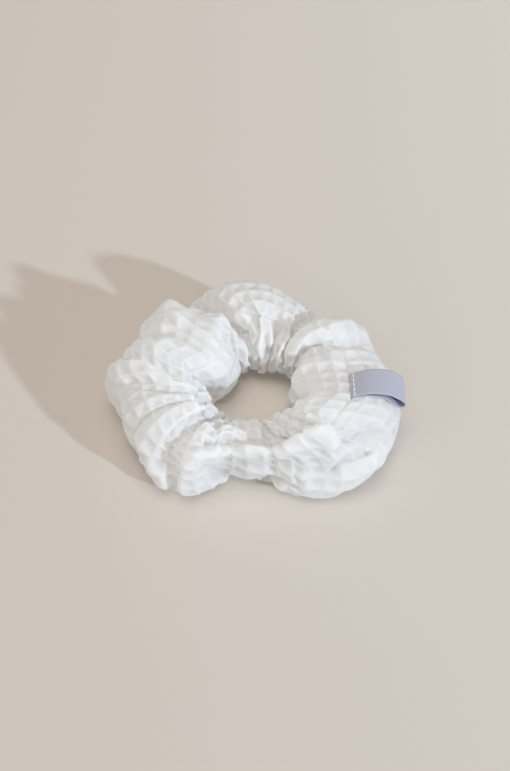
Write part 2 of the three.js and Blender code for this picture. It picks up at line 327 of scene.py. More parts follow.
# The gathered tube every 10 degrees from +X: outer radius, inner radius, top, underside
SECTIONS = np.array([
    [64.5, 13.7, 23.6, -1.0], [53.4, 11.9, 24.0, -0.6], [47.8, 13.3, 24.4, 0.0], [53.2, 19.4, 26.2, -0.8],
    [48.5, 19.4, 27.0, -1.4], [50.4, 19.4, 26.0, -0.8], [45.1, 19.4, 23.0, 1.4], [51.1, 19.4, 24.4, 1.2],
    [53.2, 19.4, 27.0, -1.0], [57.7, 11.6, 28.0, -1.6], [55.3, 19.4, 28.0, -1.4], [64.2, 19.4, 26.8, -0.4],
    [64.1, 9.5, 25.0, 1.0], [59.5, 9.5, 26.5, -0.8], [55.1, 9.5, 31.5, -1.4], [50.8, 9.5, 31.0, -0.4],
    [45.4, 10.0, 30.2, 0.4], [59.4, 12.9, 32.4, -1.2], [55.3, 19.4, 33.0, -1.6], [48.8, 19.4, 32.6, -1.6],
    [50.2, 19.4, 31.0, -1.0], [49.4, 17.6, 29.6, -0.4], [50.9, 19.2, 29.6, -1.2], [53.4, 19.4, 28.4, -1.6],
    [51.5, 19.4, 25.8, -1.2], [40.5, 19.4, 23.6, 0.2], [34.6, 18.7, 22.0, 1.8], [37.9, 17.2, 22.0, 2.2],
    [38.3, 19.4, 23.0, 1.2], [45.7, 19.4, 25.8, -1.0], [52.1, 19.4, 27.4, -1.6], [54.5, 19.4, 28.2, -1.8],
    [56.7, 19.4, 27.6, -1.6], [55.7, 19.4, 26.0, -1.2], [57.9, 19.4, 24.6, -0.8], [61.4, 15.9, 24.0, -1.0],
])

# Creases between the lobes, anticlockwise from the closing seam: the angle at the outer side, half way in and at the
# hole, then how deep it goes at the outer side, on top and at the hole, its half width, and how closely the lobe that
# follows it is gathered.
CREASES = [
    (54, 61, 57, 4.0, 4.5, 4.0, 5.0, 0.8),
    (131, 118, 82, 15.0, 14.0, 6.0, 6.0, 1.2),
    (166, 186, 211, 9.0, 10.0, 4.0, 3.6, 1.05),
    (210, 214, 221, 2.0, 4.5, 4.0, 2.5, 1.05),
    (236, 234, 231, 5.0, 7.0, 3.0, 4.5, 1.1),
    (252, 250, 248, 5.0, 0.0, 0.0, 3.0, 0.9),
    (283, 279, 281, 6.0, 2.0, 4.0, 3.0, 1.05),
    (328, 309, 299, 1.0, 3.5, 4.0, 3.0, 0.85),
    (388, 384, 402, 4.0, 5.0, 4.0, 2.5, 1.0),
]
# Single folds: depth (under 0 stands out), half width, and points as radius, angle, height.
FOLDS = [
    (-2.0, 2.4, [(27.3, 125, 27.9), (29.6, 109, 26.0), (28.0, 91, 27.0)]),
    (-1.5, 1.8, [(44.4, 35, 24.9), (29.7, 41, 26.6), (21.4, 49, 21.8), (19.0, 60, 12.7)]),
    (8.0, 2.8, [(51.6, -62, 16.9), (51.4, -56, 21.9), (51.5, -47, 22.6), (53.9, -31, 16.8)]),
    (-4.5, 2.6, [(46.2, -119, 21.9), (37.6, -109, 20.2), (33.3, -93, 20.2), (38.0, -71, 24.3), (39.6, -58, 27.4),
                 (42.5, -54, 27.5), (47.0, -55, 25.8), (50.3, -58, 22.9), (51.6, -61, 18.6)]),
    (5.0, 2.6, [(36.5, -86, 17.0), (41.1, -73, 20.7), (45.4, -68, 20.3), (47.8, -67, 15.1), (49.3, -65, 8.4)]),
    (6.0, 3.5, [(31.3, -82, 22.4), (35.2, -70, 25.7), (35.5, -60, 27.4)]),
    (-2.5, 2.4, [(47.2, -120, 21.9), (48.5, -118, 15.4), (48.0, -119, 5.4)]),
]


def cubic(table, x):
    n = len(table)
    k = np.floor(x).astype(int)
    u = (x - k)[..., None]
    w = (-0.5 * u**3 + u * u - 0.5 * u, 1.5 * u**3 - 2.5 * u * u + 1,
         -1.5 * u**3 + 2 * u * u + 0.5 * u, 0.5 * u**3 - 0.5 * u * u)
    return sum(w[i] * table[(k - 1 + i) % n] for i in range(4))


def section(theta):
    s = cubic(SECTIONS, (theta / (2 * np.pi) * 36) % 36)
    return s[..., 0], s[..., 1], s[..., 2], s[..., 3]


def seam_turn(deg):
    """Where the tube seam is on the section, as degrees of the way round it: on top at the label, inside elsewhere."""
    return SEAM_AT_LABEL + SEAM_DRIFT * (1 - np.cos(np.radians(deg + 10.0))) / 2


SEAM_AT_LABEL, SEAM_DRIFT = 85.0, 60.0
SQUARE = 0.85  # under 1 squares the sections up
RIM = 7.0  # how far the hole's rim dips at the front left and rises at the right


def lobed(ns, nt, lens):
    """The gathered tube's rough shape, ns by nt points, with its creases; the fabric shared out as lens says."""
    n = len(CREASES)
    at = np.concatenate([[0], np.cumsum(lens)]) / sum(lens)
    s = np.arange(ns) / ns

    def angles(k):
        nodes = np.array([c[k] for c in CREASES] + [CREASES[0][k] + 360.0])
        out = np.zeros(ns)
        for i in range(n):
            m = (s >= at[i] - 1e-12) & (s < at[i + 1])
            f = (s[m] - at[i]) / (at[i + 1] - at[i])
            out[m] = nodes[i] + (nodes[i + 1] - nodes[i]) * (f - 0.10 * np.sin(2 * np.pi * f))
        return np.radians(out)

    def depth(k):
        d = np.zeros(ns)
        for i, c in enumerate(CREASES):
            far = np.abs(s - at[i]) * LENGTH
            far = np.minimum(far, LENGTH - far)
            d = np.maximum(d, c[k] * np.exp(-((far / c[6]) ** 2)))
        return d

    outer, mid, inner = angles(0), angles(1), angles(2)
    d_out, d_top, d_in = depth(3), depth(4), depth(5)
    turn = seam_turn(np.degrees(mid))
    P = np.zeros((ns, nt, 3))
    girth = np.zeros(ns)
    fine = np.linspace(0, 2 * np.pi, 361)
    c, k = np.cos(fine), np.sin(fine)
    w_out, w_in, w_top = np.clip(c, 0, 1) ** 1.5, np.clip(-c, 0, 1) ** 1.5, np.clip(k, 0, 1) ** 1.2
    ro_all, ri_all = section(outer)[0], section(inner)[1]
    _, _, zt_all, zb_all = section(mid)
    for i in range(ns):
        ro, ri, zt, zb = ro_all[i], ri_all[i], zt_all[i], zb_all[i]
        r = (ro + ri) / 2 + (ro - ri) / 2 * np.sign(c) * np.abs(c) ** SQUARE - d_out[i] * w_out + d_in[i] * w_in
        z = (zt + zb) / 2 + (zt - zb) / 2 * np.sign(k) * np.abs(k) ** SQUARE - d_top[i] * w_top
        z = np.maximum(z - RIM * (0.35 - math.cos(mid[i] - 0.45)) * np.clip(-c, 0, 1) * np.clip(k, 0, 1), 1.0)
        d = np.concatenate([[0], np.cumsum(np.hypot(np.diff(r), np.diff(z)))])
        girth[i] = d[-1]
        q = ((np.arange(nt) / nt + turn[i] / 360.0) % 1.0) * d[-1]
        rr, zz = np.interp(q, d, r), np.interp(q, d, z)
        u = (rr - ri) / (ro - ri)
        th = np.where(u < 0.5, inner[i] + (mid[i] - inner[i]) * np.clip(u / 0.5, 0, 1),
                      mid[i] + (outer[i] - mid[i]) * np.clip((u - 0.5) / 0.5, 0, 1))
        P[i, :, 0], P[i, :, 1], P[i, :, 2] = rr * np.cos(th), rr * np.sin(th), zz
    N = normals(P)
    for deep, wide, points in FOLDS:
        q = np.array([(r * math.cos(math.radians(a)), r * math.sin(math.radians(a)), z) for r, a, z in points])
        near = np.full(P.shape[:2], 1e9)
        for j in range(len(q) - 1):
            for f in np.linspace(0, 1, 8):
                near = np.minimum(near, np.linalg.norm(P - (q[j] * (1 - f) + q[j + 1] * f), axis=-1))
        P = P - N * (deep * np.exp(-((near / wide) ** 2)))[..., None]
    return P, mid, girth, at


def normals(P):
    N = np.cross(np.roll(P, -1, 0) - np.roll(P, 1, 0), np.roll(P, -1, 1) - np.roll(P, 1, 1))
    return N / np.maximum(np.linalg.norm(N, axis=-1, keepdims=True), 1e-9)


def crease_grip(P):
    """How firmly the relaxing cloth keeps to its rough shape: firm along the creases and folds, slack elsewhere."""
    grip = np.zeros(P.shape[:2])
    for deep, wide, points in FOLDS:
        q = np.array([(r * math.cos(math.radians(a)), r * math.sin(math.radians(a)), z) for r, a, z in points])
        near = np.full(P.shape[:2], 1e9)
        for j in range(len(q) - 1):
            for f in np.linspace(0, 1, 8):
                near = np.minimum(near, np.linalg.norm(P - (q[j] * (1 - f) + q[j + 1] * f), axis=-1))
        grip = np.maximum(grip, np.exp(-((near / (wide + 2.5)) ** 2)))
    return grip


def rough_shape(ns, nt):
    """lobed(), with the fabric shared out by each lobe's length on its outer side and how closely it is gathered."""
    lens = [40.0] * len(CREASES)
    for _ in range(5):
        P, mid, girth, at = lobed(ns, nt, lens)
        seg = np.linalg.norm(np.roll(P, -1, 0) - P, axis=-1)
        rows = np.argsort(seg.sum(0))[-12:]
        run = np.concatenate([[0], np.cumsum(seg[:, rows].mean(1))])
        here = np.interp(at * ns, np.arange(ns + 1), run)
        want = np.diff(here) * [c[7] for c in CREASES]
        lens = [0.3 * a + 0.7 * b for a, b in zip(lens, want / want.sum() * sum(lens))]
    rough_shape.lens = lens
    far = np.abs((np.arange(ns) / ns)[:, None] - np.concatenate([at, at[:1] + 1])[None]) * LENGTH
    grip = np.maximum(crease_grip(P), 0.7 * np.exp(-((far.min(1) / 5.0) ** 2))[:, None])
    return P, mid, girth, grip


def closes(ns):
    """How far the weave closes up before it folds, for each column of the cloth: less than 1 where it is gathered close."""
    lens = np.array(rough_shape.lens)
    at = np.concatenate([[0], np.cumsum(lens)]) / lens.sum()
    w = 1 / np.array([c[7] for c in CREASES])
    out = w[np.clip(np.searchsorted(at, np.arange(ns) / ns, "right") - 1, 0, len(w) - 1)]
    for _ in range(6):
        out = (2 * out + np.roll(out, 1) + np.roll(out, -1)) / 4
    return out


class Cloth:
    """A closed grid of points, relaxed by position-based constraints: it hardly stretches, its waffle weave closes up
    like an accordion before it folds, it resists bending, and it keeps clear of itself, the elastic and the floor."""

    def __init__(self, X):
        self.X = X

    def pull(self, di, dj, rest, stiff, low, soft):
        X = self.X
        ns, nt = X.shape[:2]
        low = np.broadcast_to(low, rest.shape)
        for colour in (0, 1):
            if di:
                a = np.nonzero(np.arange(ns) // di % 2 == colour)[0]
                b = (a + di) % ns
                A, B = X[a], np.roll(X[b], -dj, axis=1)
                want, least = rest[a][:, None], (rest * low)[a][:, None]
            else:
                a = np.nonzero(np.arange(nt) // dj % 2 == colour)[0]
                b = (a + dj) % nt
                A, B = X[:, a], X[:, b]
                want, least = rest[:, None], (rest * low)[:, None]
            d = B - A
            l = np.maximum(np.sqrt((d * d).sum(-1)), 1e-6)
            c = (l - want) / l
            c = np.where(l < least, (l - least) / l + soft * (least / want - 1), np.where(c < 0, soft * c, c))
            move = 0.5 * stiff * c[..., None] * d
            if di:
                X[a] = A + move
                X[b] -= np.roll(move, dj, axis=1)
            else:
                X[:, a] = A + move
                X[:, b] = B - move

    def straighten(self, k):
        X = self.X
        for axis in (0, 1):
            bend = X - 0.5 * (np.roll(X, 1, axis) + np.roll(X, -1, axis))
            X -= k * (bend - 0.5 * (np.roll(bend, 1, axis) + np.roll(bend, -1, axis)))

    def near(self, reach, apart=1):
        """Pairs of points within reach and over apart steps away on the cloth, found by sorting them into cells."""
        P = self.X.reshape(-1, 3)
        n = len(P)
        cell = np.floor((P - P.min(0)) / reach).astype(np.int64) + 1
        size = cell.max(0) + 3
        key = (cell[:, 0] * size[1] + cell[:, 1]) * size[2] + cell[:, 2]
        order = np.argsort(key, kind="stable")
        ranked = key[order]
        found = []
        steps = [(0, 0, 0)] + [(a, b, c) for a in (-1, 0, 1) for b in (-1, 0, 1) for c in (-1, 0, 1) if (a, b, c) > (0, 0, 0)]
        for a, b, c in steps:
            other = key + (a * size[1] + b) * size[2] + c
            lo, hi = np.searchsorted(ranked, other, "left"), np.searchsorted(ranked, other, "right")
            count = hi - lo
            if count.max() == 0:
                continue
            p = np.repeat(np.arange(n), count)
            q = order[np.repeat(lo, count) + np.arange(len(p)) - np.repeat(np.cumsum(count) - count, count)]
            if (a, b, c) == (0, 0, 0):
                keep = p < q
                p, q = p[keep], q[keep]
            v = P[p] - P[q]
            keep = (v * v).sum(1) < reach * reach
            found.append((p[keep], q[keep]))
        p, q = (np.concatenate([f[k] for f in found]) for k in (0, 1))
        ns, nt = self.X.shape[:2]
        di, dj = np.abs(p // nt - q // nt), np.abs(p % nt - q % nt)
        keep = (np.minimum(di, ns - di) > apart) | (np.minimum(dj, nt - dj) > apart)
        return p[keep], q[keep]

    def part(self, p, q, gap):
        P = self.X.reshape(-1, 3)
        v = P[p] - P[q]
        l = np.sqrt((v * v).sum(1))
        m = l < gap
        if not m.any():
            return
        a, b, v, l = p[m], q[m], v[m], np.maximum(l[m], 1e-6)
        move = (0.5 * (gap - l) / l)[:, None] * v
        n = len(P)
        met = np.bincount(a, minlength=n) + np.bincount(b, minlength=n)
        total = np.stack([np.bincount(a, move[:, k], n) - np.bincount(b, move[:, k], n) for k in range(3)], 1)
        P += total * (0.8 * np.minimum(met, 2) / np.maximum(met, 1))[:, None]
        self.X = P.reshape(self.X.shape)

    def off_elastic(self, radius, height, clear):
        X = self.X
        r = np.maximum(np.hypot(X[..., 0], X[..., 1]), 1e-6)
        dr, dz = r - radius, X[..., 2] - height
        d = np.hypot(dr, dz)
        m = d < clear
        k = clear / np.maximum(d, 1e-6)
        f = np.where(m, (radius + dr * k) / r, 1.0)
        X[..., 0] *= f
        X[..., 1] *= f
        X[..., 2] = np.where(m, height + dz * k, X[..., 2])

    def inside_outline(self, grow, how):
        X = self.X
        ro, ri, zt, zb = section(np.arctan2(X[..., 1], X[..., 0]))
        rc, zc = (ro + ri) / 2, (zt + np.maximum(zb, -2)) / 2
        r = np.maximum(np.hypot(X[..., 0], X[..., 1]), 1e-6)
        u, v = (r - rc) / ((ro - ri) / 2 + grow), (X[..., 2] - zc) / ((zt - zb) / 2 + grow)
        q = (np.abs(u) ** (2 / SQUARE) + np.abs(v) ** (2 / SQUARE)) ** (SQUARE / 2)
        k = np.where(q > 1, 1 + (1 / np.maximum(q, 1e-6) - 1) * how, 1.0)
        f = (rc + (r - rc) * k) / r
        X[..., 0] *= f
        X[..., 1] *= f
        X[..., 2] = zc + (X[..., 2] - zc) * k


def gathered(ns=160, nt=40, steps=240, gap=2.2, soft=(0.25, 0.4), low=(0.68, 0.78), stiff=0.12, hold=(0.06, 0.004, 0.25), seed=7):
    """The tube is started as a wide smooth ring round its stretched elastic, and gathers into lobes as that draws in."""
    G, mid, girth, grip = rough_shape(ns, nt)
    firm = (hold[1] + hold[2] * grip)[..., None]
    phi = np.arange(nt)[None] / nt * 2 * np.pi + np.radians(seam_turn(np.degrees(mid)))[:, None]
    big, small = LENGTH / 2 / np.pi, GIRTH / 2 / np.pi
    a0 = mid[0] + np.arange(ns) / ns * 2 * np.pi
    r0, z0 = big + small * np.cos(phi), small + 1 + small * np.sin(phi)
    a1 = np.unwrap(np.arctan2(G[..., 1], G[..., 0]), axis=0)
    a1 -= 2 * np.pi * np.round((a1 - mid[:, None]) / (2 * np.pi))
    r1, z1 = np.hypot(G[..., 0], G[..., 1]), G[..., 2]
    start = np.stack([r0 * np.cos(a0)[:, None], r0 * np.sin(a0)[:, None], z0], -1)
    cloth = Cloth(start + np.random.default_rng(seed).normal(0, 0.15, start.shape))
    share = np.clip(girth * 1.03 / GIRTH, 0.72, 1.06)
    for _ in range(12):
        share = (share * 2 + np.roll(share, 1) + np.roll(share, -1)) / 4
    hs, ht = np.full(ns, LENGTH / ns), GIRTH / nt * share
    lows = np.clip(low[0] * closes(ns), 0.4, 0.75)
    slant = np.hypot(hs, ht)
    settle = 0.75
    for n in range(steps):
        tau = min(1.0, (n + 1) / (steps * settle))
        tau = 1 - (1 - tau) ** 1.5
        late = max(0.0, (n - steps * settle) / (steps * (1 - settle)))
        r, a, z = r0 * (1 - tau) + r1 * tau, a0[:, None] * (1 - tau) + a1 * tau, z0 * (1 - tau) + z1 * tau
        aim = np.stack([r * np.cos(a), r * np.sin(a), z], -1)
        was = cloth.X.copy()
        cloth.X += (hold[0] * (1 - late) + firm * late) * (aim - cloth.X)
        cloth.X[..., 2] -= 0.01
        if n % 4 == 0:
            p, q = cloth.near(gap * 1.6)
        for it in range(6):
            cloth.pull(1, 0, hs, 0.9, lows, soft[0])
            cloth.pull(0, 1, ht, 0.9, low[1], soft[1])
            cloth.pull(1, 1, slant, 0.2, 0.75, 0.1)
            cloth.pull(1, -1, slant, 0.2, 0.75, 0.1)
            cloth.straighten(stiff * (1 - 0.5 * late))
            cloth.pull(2, 0, 2 * hs, 0.3, 0.55, 0.0)
            cloth.pull(0, 2, 2 * ht, 0.3, 0.55, 0.0)
            if it % 2:
                cloth.part(p, q, gap)
            cloth.off_elastic(big * (1 - tau) + ELASTIC[0] * tau, (small + 1) * (1 - tau) + ELASTIC[1] * tau, ELASTIC[2])
            np.maximum(cloth.X[..., 2], 0.9, out=cloth.X[..., 2])
        if tau > 0.6:
            cloth.inside_outline(0.3 + 12 * (1 - tau), 0.3 * (1 - grip))
        step = cloth.X - was
        far = np.linalg.norm(step, axis=-1, keepdims=True)
        cloth.X = was + step * np.minimum(1, 0.8 / np.maximum(far, 1e-9))
    return cloth.X, hs, ht


def resample(A, n, axis, x=None):
    """A smooth periodic B-spline through a grid, read at n places along one axis."""
    A = np.moveaxis(A, axis, 0)
    N = A.shape[0]
    x = np.arange(n) / n * N if x is None else x * N
    k = np.floor(x).astype(int)
    u = (x - k).reshape(-1, *([1] * (A.ndim - 1)))
    w = ((1 - u) ** 3 / 6, (3 * u**3 - 6 * u * u + 4) / 6, (-3 * u**3 + 3 * u * u + 3 * u + 1) / 6, u**3 / 6)
    return np.moveaxis(sum(w[i] * A[(k - 1 + i) % N] for i in range(4)), 0, axis)


# The smaller folds: how far they stand out (under 0 goes in), half width, and points on the cloth.
WRINKLES = [
    (-3.0, 2.4, [(0.6, 29.3, 23.0), (1.1, 24.4, 20.4), (1.9, 20.9, 16.4), (2.9, 17.5, 10.3)]),  # fold beside the closing seam
    (-3.5, 4.0, [(-12.2, 4.3, 6.1), (-12.5, -15.2, 19.8), (-9.0, -23.5, 22.7), (-7.1, -18.6, 18.2), (-5.9, -17.9, 17.1)]),  # the hole: its front left rim
    (-3.0, 3.5, [(13.1, 3.1, 13.7), (12.9, 14.0, 7.2), (10.2, 17.5, 5.6), (9.1, 16.1, 8.4), (6.9, 16.0, 10.5)]),  # its back right wall
    (2.4, 2.2, [(-0.3, 29.2, 23.3), (0.6, 23.6, 20.4), (1.4, 20.0, 15.7), (1.4, 21.4, 3.8)]),  # the edge of that fold
    (3.2, 1.9, [(-16.1, 16.8, 27.1), (-16.1, 25.7, 24.8), (-12.6, 27.7, 24.9), (-6.7, 30.7, 23.8), (-0.0, 30.1, 23.5)]),
    (-1.2, 1.8, [(-15.2, 37.5, 19.4), (-9.6, 34.3, 25.4), (3.9, 30.9, 27.8)]),
    (-3.0, 4.0, [(4.0, 25.6, 25.9), (13.3, 25.5, 23.6), (22.9, 27.0, 24.6)]),
    (1.6, 1.7, [(42.2, 25.4, 19.8), (38.2, 25.8, 23.4), (28.2, 18.8, 27.0), (20.7, 15.6, 26.6), (13.2, 14.6, 20.6), (9.5, 13.9, 13.6)]),
    (-2.2, 1.8, [(44.1, 18.4, 18.0), (35.8, 14.6, 22.2), (22.3, 9.9, 24.2), (15.0, 12.4, 18.2), (12.2, 13.1, 13.5)]),
    (-7.0, 2.6, [(24.6, -42.1, 13.4), (26.6, -41.0, 16.9), (29.7, -39.8, 18.9), (33.1, -37.6, 19.9), (39.6, -32.8, 21.7), (46.5, -24.7, 14.5)]),  # the front right lobe: a crease between two rolls
    (5.0, 2.5, [(8.7, -35.6, 20.4), (13.0, -37.9, 24.4), (17.3, -36.4, 26.1), (20.8, -34.9, 28.0), (24.5, -34.1, 28.5), (27.1, -36.3, 27.0), (27.5, -38.4, 23.5), (27.0, -40.1, 19.9), (25.5, -41.5, 15.3)]),
    (2.5, 2.6, [(26.3, -43.1, 10.0), (33.1, -40.9, 14.5), (42.1, -35.1, 16.1), (49.5, -22.2, 10.2)]),
    (-3.2, 3.0, [(20.9, -38.0, 26.2), (21.8, -40.6, 20.6), (22.0, -41.6, 13.9), (23.1, -43.0, 7.4)]),
    (1.5, 1.3, [(17.2, -39.7, 22.7), (17.4, -41.8, 13.2), (20.5, -42.8, 5.1)]),
    (1.2, 1.2, [(13.4, -41.1, 13.7), (14.5, -41.5, 5.8)]),
    (-2.5, 2.0, [(12.5, -20.2, 23.6), (18.4, -28.1, 25.0), (24.2, -30.7, 27.6), (29.6, -30.1, 26.8), (34.9, -30.8, 24.4), (43.2, -26.1, 21.7)]),
    (1.2, 1.2, [(3.6, -20.2, 15.5), (12.3, -28.3, 23.0), (19.1, -28.9, 24.9), (24.2, -32.1, 27.3)]),
    (4.5, 2.2, [(-22.5, -41.5, 21.9), (-17.2, -39.1, 22.5), (-10.6, -35.3, 20.4), (-1.7, -35.0, 19.4), (5.4, -34.5, 18.6), (11.6, -37.2, 20.9)]),  # the neck
    (-4.0, 2.8, [(-17.8, -36.3, 24.5), (-10.6, -33.3, 22.7), (-1.9, -33.0, 22.0), (5.2, -29.9, 19.3), (10.4, -33.8, 24.3), (15.6, -31.4, 25.5)]),
    (1.8, 1.4, [(2.6, -18.1, 14.3), (3.0, -29.3, 18.4), (4.1, -34.5, 18.5)]),
    (-8.0, 7.0, [(-22.6, -26.3, 28.0), (-27.0, -33.6, 25.4), (-29.9, -38.6, 20.4), (-29.4, -39.3, 8.5)]),  # the front left lobe
    (2.0, 2.0, [(-24.1, -43.2, 19.2), (-22.8, -40.8, 22.6), (-19.1, -39.4, 23.1)]),
    (1.6, 2.2, [(-49.7, -0.9, 28.1), (-48.8, -7.3, 21.6), (-45.4, -19.2, 20.8), (-41.9, -23.2, 9.4), (-36.9, -36.7, 10.8), (-31.8, -38.4, 3.8)]),
    (1.6, 1.6, [(-44.7, 7.4, 27.9), (-39.4, 17.6, 25.7), (-30.9, 18.6, 30.0), (-24.3, 19.9, 30.1)]),  # the left lobes
    (1.6, 1.7, [(-24.2, 10.8, 28.6), (-22.4, 13.6, 28.7), (-16.9, 17.2, 27.6), (-9.4, 21.9, 18.9), (-5.8, 18.3, 13.6)]),
    (-1.6, 1.8, [(-37.0, -6.3, 31.6), (-30.9, 1.2, 31.1), (-24.7, 5.8, 30.0)]),
    (5.5, 2.4, [(-32.5, 23.1, 29.6), (-32.5, 31.7, 26.8), (-28.1, 19.7, 30.3)]),
    (1.6, 2.0, [(-22.5, -41.5, 21.9), (-23.7, -43.4, 18.7), (-24.2, -44.5, 14.6)]),
]


# The crisp edges and the creases beside them, pressed into the relaxed cloth, in the same terms.
PRESSED = [
    (2.9, 1.8, [(-23.5, -43.0, 16.9), (-24.0, -42.0, 19.1), (-22.7, -41.4, 21.3), (-19.7, -40.6, 23.4), (-17.1, -39.5, 24.0), (-13.5, -37.5, 22.9), (-8.6, -34.1, 19.0), (-1.6, -35.8, 20.2), (4.6, -36.2, 20.0), (8.5, -37.5, 21.8), (11.9, -38.9, 25.6), (15.4, -37.8, 27.6), (18.7, -36.4, 29.4), (21.4, -36.1, 30.8), (24.1, -36.6, 30.9), (25.9, -37.8, 29.7), (27.0, -39.2, 27.0), (27.0, -40.1, 22.6), (25.9, -38.8, 16.6), (24.7, -39.9, 12.8)]),  # the neck and the front right curl: the edge
    (-3.0, 2.3, [(-20.7, -37.6, 23.3), (-17.5, -36.0, 23.6), (-12.2, -33.2, 21.9), (-5.5, -31.4, 19.3), (-0.0, -30.9, 18.3), (4.5, -30.5, 17.2), (9.6, -30.9, 18.7), (12.9, -32.4, 22.4), (15.8, -32.1, 25.3)]),  # the crease above it
    (1.6, 1.4, [(0.6, -22.9, 21.6), (1.2, -27.1, 20.3), (1.9, -29.6, 18.1), (2.9, -32.1, 17.5)]),
    (-1.8, 1.4, [(3.3, -19.7, 17.8), (3.9, -27.3, 20.3), (4.7, -28.7, 17.9), (6.1, -31.7, 18.0)]),
    (1.3, 1.2, [(9.9, -30.7, 19.6), (12.2, -31.6, 22.7), (14.6, -30.5, 24.2), (17.7, -31.9, 28.0), (20.5, -33.7, 30.3)]),
    (-4.2, 1.8, [(24.1, -40.7, 11.5), (26.1, -39.7, 13.9), (27.8, -38.8, 16.1), (31.5, -37.5, 16.8), (36.9, -36.3, 17.2), (42.4, -32.5, 16.3)]),
    (-2.8, 2.4, [(28.5, -38.7, 26.0), (33.2, -33.2, 22.5), (38.0, -26.5, 18.4), (41.5, -24.1, 18.0)]),
    (2.0, 2.2, [(28.1, -39.5, 22.1), (33.4, -34.1, 18.3), (39.1, -28.1, 15.6), (44.7, -24.1, 14.8)]),
    (2.0, 1.4, [(16.8, -39.7, 23.9), (16.0, -39.4, 17.6), (15.6, -41.3, 14.7), (17.2, -42.7, 10.4), (18.9, -43.0, 6.4)]),
    (-2.2, 1.4, [(15.0, -39.6, 21.5), (14.4, -39.7, 16.7), (13.4, -41.5, 13.1), (15.3, -42.0, 7.2)]),
    (-2.0, 1.5, [(-14.1, 4.1, 5.0), (-17.8, -21.0, 23.4), (-21.2, -24.8, 24.7), (-24.2, -27.2, 24.1), (-26.9, -30.1, 21.4)]),
    (-2.2, 1.7, [(-18.6, -41.7, 20.8), (-16.8, -40.0, 15.7), (-14.4, -36.7, 10.5), (-11.9, -32.0, 4.7)]),  # the front left knob
    (2.0, 2.0, [(-44.1, -22.1, 21.4), (-40.7, -28.1, 18.4), (-37.5, -34.3, 16.3), (-35.6, -37.4, 11.8), (-33.4, -39.0, 8.1), (-30.9, -37.8, 2.9)]),  # the front left lobe
    (1.3, 1.6, [(-16.5, 22.3, 28.0), (-14.4, 25.9, 26.8), (-10.4, 33.9, 20.8), (-4.9, 29.0, 25.7), (0.2, 30.1, 23.7)]),  # the back lobe: the flap
    (-0.8, 1.8, [(-18.2, 26.4, 26.2), (-15.7, 38.2, 19.2), (-10.5, 34.8, 22.9), (-4.2, 32.8, 24.8), (1.0, 29.1, 27.2)]),
    (1.1, 1.5, [(0.3, 29.5, 23.5), (1.2, 26.5, 20.5), (1.9, 19.8, 18.8), (2.7, 17.1, 13.3)]),
    (-1.2, 1.6, [(2.4, 26.3, 26.1), (3.2, 22.3, 23.0), (3.8, 19.3, 19.0), (4.7, 17.3, 12.9)]),
    (1.8, 1.5, [(-33.4, 29.0, 31.6), (-31.3, 24.9, 32.1), (-27.4, 18.3, 31.5)]),  # the left peak
]


def wrinkled(P, N, folds):
    """How far each point of the cloth moves out for these folds, and how firmly it then keeps there."""
    flat, away = P.reshape(-1, 3), N.reshape(-1, 3)
    lift, grip = np.zeros(len(flat)), np.zeros(len(flat))
    for high, wide, points in folds:
        q = np.array(points)
        run = np.concatenate([[0], np.cumsum(np.linalg.norm(np.diff(q, axis=0), axis=1))])
        n = max(4, int(run[-1] / 1.2))
        line = np.stack([np.interp(np.linspace(0, run[-1], n), run, q[:, k]) for k in range(3)], 1)
        for _ in range(3):
            line[1:-1] = (line[:-2] + 2 * line[1:-1] + line[2:]) / 4
        region = np.nonzero(np.all((flat > line.min(0) - 12) & (flat < line.max(0) + 12), axis=1))[0]
        at = np.array([region[np.argmin(((flat[region] - p) ** 2).sum(1))] for p in line])
        line, up = flat[at], away[at]
        for _ in range(3):
            line[1:-1] = (line[:-2] + 2 * line[1:-1] + line[2:]) / 4
        d = np.linalg.norm(flat[region][:, None] - line[None], axis=-1)
        k = d.argmin(1)
        d = d.min(1)
        ends = np.clip(np.minimum(k, n - 1 - k) * 1.2 / (2.2 * wide) + 0.15, 0, 1)
        same = np.clip((away[region] * up[k]).sum(1) * 1.5, 0, 1)
        lift[region] += high * ends * same * np.exp(-((d / wide) ** 1.7))
        grip[region] = np.maximum(grip[region], same * np.exp(-((d / (wide + 1.0)) ** 2)))
    return lift.reshape(P.shape[:2]), grip.reshape(P.shape[:2])


def smooth_normals(X):
    N = normals(X)
    for _ in range(4):
        N = N * 2 + np.roll(N, 1, 0) + np.roll(N, -1, 0) + np.roll(N, 1, 1) + np.roll(N, -1, 1)
        N /= np.linalg.norm(N, axis=-1, keepdims=True)
    return N


# Where the cloth lies flat, without crumples: how far that reaches, and the middle of it.
IRONED = [
    (7.0, (14.6, 29.7, 23.3)),
    (7.0, (-30.2, -2.7, 29.4)),
    (6.0, (-22.3, -4.6, 25.6)),
    (7.0, (-13.8, -20.6, 20.6)),
    (8.0, (26.5, -39.6, 14.3)),
    (10.0, (-17.3, -32.9, 24.1)),
    (10.0, (-7.9, -28.8, 21.3)),
    (10.0, (0.9, -27.5, 19.7)),
    (9.0, (8.8, -28.0, 18.3)),
    (7.0, (-11.5, -27.6, 24.4)),
    (9.0, (-7.6, 22.3, 22.3)),
    (10.0, (-12.8, 37.9, 25.2)),
    (10.0, (2.8, 34.7, 28.2)),
    (8.0, (-30.0, -33.3, 16.7)),
    (8.0, (18.4, -39.1, 21.0)),
    (8.0, (31.5, -34.8, 20.4)),
    (9.0, (-33.7, -20.5, 29.6)),
]


